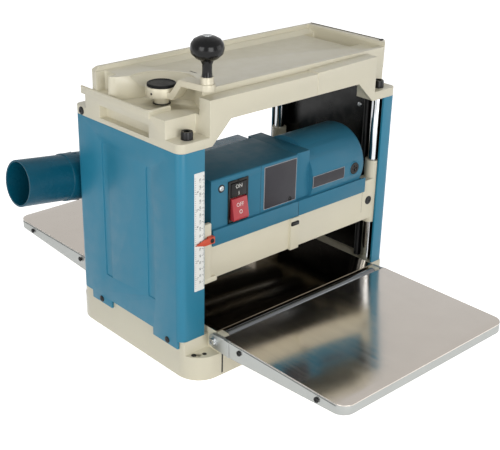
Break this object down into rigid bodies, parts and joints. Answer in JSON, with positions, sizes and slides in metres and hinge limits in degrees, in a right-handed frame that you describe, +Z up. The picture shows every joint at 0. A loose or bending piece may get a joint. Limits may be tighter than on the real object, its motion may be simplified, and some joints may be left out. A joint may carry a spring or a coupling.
{
  "type": "thickness planer",
  "caption": "Portable thickness planer with a four-column cutter head carriage, crank lift, tool tray, folding infeed and outfeed tables and a dust hood.",
  "frame": {"origin": "on the floor under the middle of the base casting", "axes": "+Z up, +X to the operator's right seen from the infeed side, -Y towards the infeed side"},
  "size_m": [0.5172, 0.771, 0.481],
  "materials": {
    "cast_paint": "semi-gloss cream paint with a fine orange peel, on aluminium castings",
    "cover_plastic": "satin teal-blue moulded plastic with a fine grain",
    "motor_plastic": "satin teal-blue moulded plastic, a little darker and glossier than the covers",
    "duct_plastic": "satin dark teal moulded plastic",
    "sheet_steel": "polished stainless sheet with a faint brushed grain",
    "rail_alloy": "bare die-cast alloy, lightly machined",
    "zinc_steel": "bright zinc-plated steel",
    "column_chrome": "ground and chromed steel",
    "black_steel": "blackened oily steel",
    "inner_panel": "glossy dark paint",
    "scale_paint": "white printed plate with plain ticks and numbers",
    "pointer_plastic": "glossy orange-red plastic",
    "nut_brass": "machined brass",
    "crank_alloy": "cream paint on a cast arm",
    "black_plastic": "black moulded plastic, glossy on the knob",
    "red_plastic": "red moulded plastic",
    "drum_steel": "machined steel",
    "knife_steel": "ground tool steel",
    "roller_rubber": "matt black rubber",
    "stator_iron": "stacked lamination steel"
  },
  "bodies": {
    "root": {"base_casting": "cast_paint", "table_sheet": "sheet_steel", "front_left_column": "column_chrome", "front_right_column": "column_chrome", "rear_left_column": "column_chrome", "rear_right_column": "column_chrome", "column_bolts": "black_steel", "hinge_bolts": "zinc_steel", "left_side_cover": "cover_plastic", "right_side_cover": "cover_plastic", "left_inner_panel": "inner_panel", "right_inner_panel": "inner_panel", "cover_screws": "black_steel", "scale_plate": "scale_paint", "top_frame": "cast_paint", "top_tray": "cast_paint", "lift_chain": "black_steel", "crank_chain": "black_steel"},
    "crank": {"crank_arm": "crank_alloy", "crank_cap": "black_plastic", "crank_shaft": "black_steel", "knob_pin": "zinc_steel"},
    "knob": {"crank_knob": "black_plastic"},
    "left_screw": {"left_lift_screw": "black_steel"},
    "right_screw": {"right_lift_screw": "black_steel"},
    "front_table": {"front_table_sheet": "sheet_steel", "front_table_frame": "rail_alloy", "front_table_bolts": "black_steel"},
    "rear_table": {"rear_table_sheet": "sheet_steel", "rear_table_frame": "rail_alloy", "rear_table_bolts": "black_steel"},
    "front_roller": {"front_base_roller": "zinc_steel"},
    "rear_roller": {"rear_base_roller": "zinc_steel"},
    "head": {"belt_cover": "black_plastic", "brush_caps": "black_plastic", "depth_pointer": "pointer_plastic", "drive_belt": "roller_rubber", "drum_bearings": "drum_steel", "dust_hood": "duct_plastic", "feed_chain": "black_steel", "feed_gear_case": "drum_steel", "head_casting": "cast_paint", "head_screws": "black_steel", "lift_nuts": "nut_brass", "motor_housing": "motor_plastic", "motor_stator": "stator_iron", "switch_body": "black_plastic", "switch_cover": "motor_plastic"},
    "drum": {"cutter_drum": "drum_steel", "knives": "knife_steel", "knife_clamps": "drum_steel", "drum_pulley": "drum_steel"},
    "rotor": {"motor_rotor": "drum_steel", "motor_pulley": "drum_steel"},
    "infeed": {"infeed_roller": "roller_rubber", "infeed_shaft": "drum_steel"},
    "outfeed": {"outfeed_roller": "roller_rubber", "outfeed_shaft": "drum_steel"},
    "on_button": {"on_button": "black_plastic"},
    "off_paddle": {"off_paddle": "red_plastic"}
  },
  "joints": [
    {"name": "crank_turn", "type": "hinge", "parent": "root", "child": "crank", "pos_m": [-0.168, -0.026, 0.388], "axis": [0, 0, 1], "range_deg": [-15665, 11705]},
    {"name": "knob_spin", "type": "hinge", "parent": "crank", "child": "knob", "pos_m": [-0.15397, -0.10395, 0.427], "axis": [0, 0, 1], "continuous": true},
    {"name": "head_lift", "type": "slide", "parent": "root", "child": "head", "axis": [0, 0, 1], "range_m": [-0.065, 0.087]},
    {"name": "left_screw_turn", "type": "hinge", "parent": "root", "child": "left_screw", "pos_m": [-0.18, 0.054, 0.2], "axis": [0, 0, 1], "range_deg": [-15665, 11705]},
    {"name": "right_screw_turn", "type": "hinge", "parent": "root", "child": "right_screw", "pos_m": [0.195, -0.082, 0.2], "axis": [0, 0, 1], "range_deg": [-15665, 11705]},
    {"name": "front_table_fold", "type": "hinge", "parent": "root", "child": "front_table", "pos_m": [0, -0.141, 0.056], "axis": [-1, 0, 0], "range_deg": [0, 90]},
    {"name": "rear_table_fold", "type": "hinge", "parent": "root", "child": "rear_table", "pos_m": [0, 0.141, 0.056], "axis": [1, 0, 0], "range_deg": [0, 35]},
    {"name": "front_roller_spin", "type": "hinge", "parent": "root", "child": "front_roller", "pos_m": [0, -0.15, 0.0625], "axis": [1, 0, 0], "continuous": true},
    {"name": "rear_roller_spin", "type": "hinge", "parent": "root", "child": "rear_roller", "pos_m": [0, 0.15, 0.0625], "axis": [1, 0, 0], "continuous": true},
    {"name": "drum_spin", "type": "hinge", "parent": "head", "child": "drum", "pos_m": [0, 0, 0.163], "axis": [1, 0, 0], "continuous": true},
    {"name": "rotor_spin", "type": "hinge", "parent": "head", "child": "rotor", "pos_m": [0, -0.062, 0.2355], "axis": [1, 0, 0], "continuous": true},
    {"name": "infeed_spin", "type": "hinge", "parent": "head", "child": "infeed", "pos_m": [0, -0.055, 0.154], "axis": [1, 0, 0], "continuous": true},
    {"name": "outfeed_spin", "type": "hinge", "parent": "head", "child": "outfeed", "pos_m": [0, 0.055, 0.154], "axis": [1, 0, 0], "continuous": true},
    {"name": "on_button_press", "type": "slide", "parent": "head", "child": "on_button", "axis": [0, 1, 0], "range_m": [0, 0.0025], "stiffness_N_per_m": 600},
    {"name": "off_paddle_press", "type": "hinge", "parent": "head", "child": "off_paddle", "pos_m": [0, -0.1105, 0.2485], "axis": [1, 0, 0], "range_deg": [0, 5], "stiffness_Nm_per_rad": 0.3}
  ],
  "couplings": [
    {"joint": "crank_turn", "follows": "head_lift", "rad_per_m": -3141.6},
    {"joint": "left_screw_turn", "follows": "head_lift", "rad_per_m": -3141.6},
    {"joint": "right_screw_turn", "follows": "head_lift", "rad_per_m": -3141.6},
    {"joint": "rotor_spin", "follows": "drum_spin", "ratio": 0.8125},
    {"joint": "infeed_spin", "follows": "drum_spin", "ratio": -0.016667},
    {"joint": "outfeed_spin", "follows": "drum_spin", "ratio": -0.016667}
  ]
}
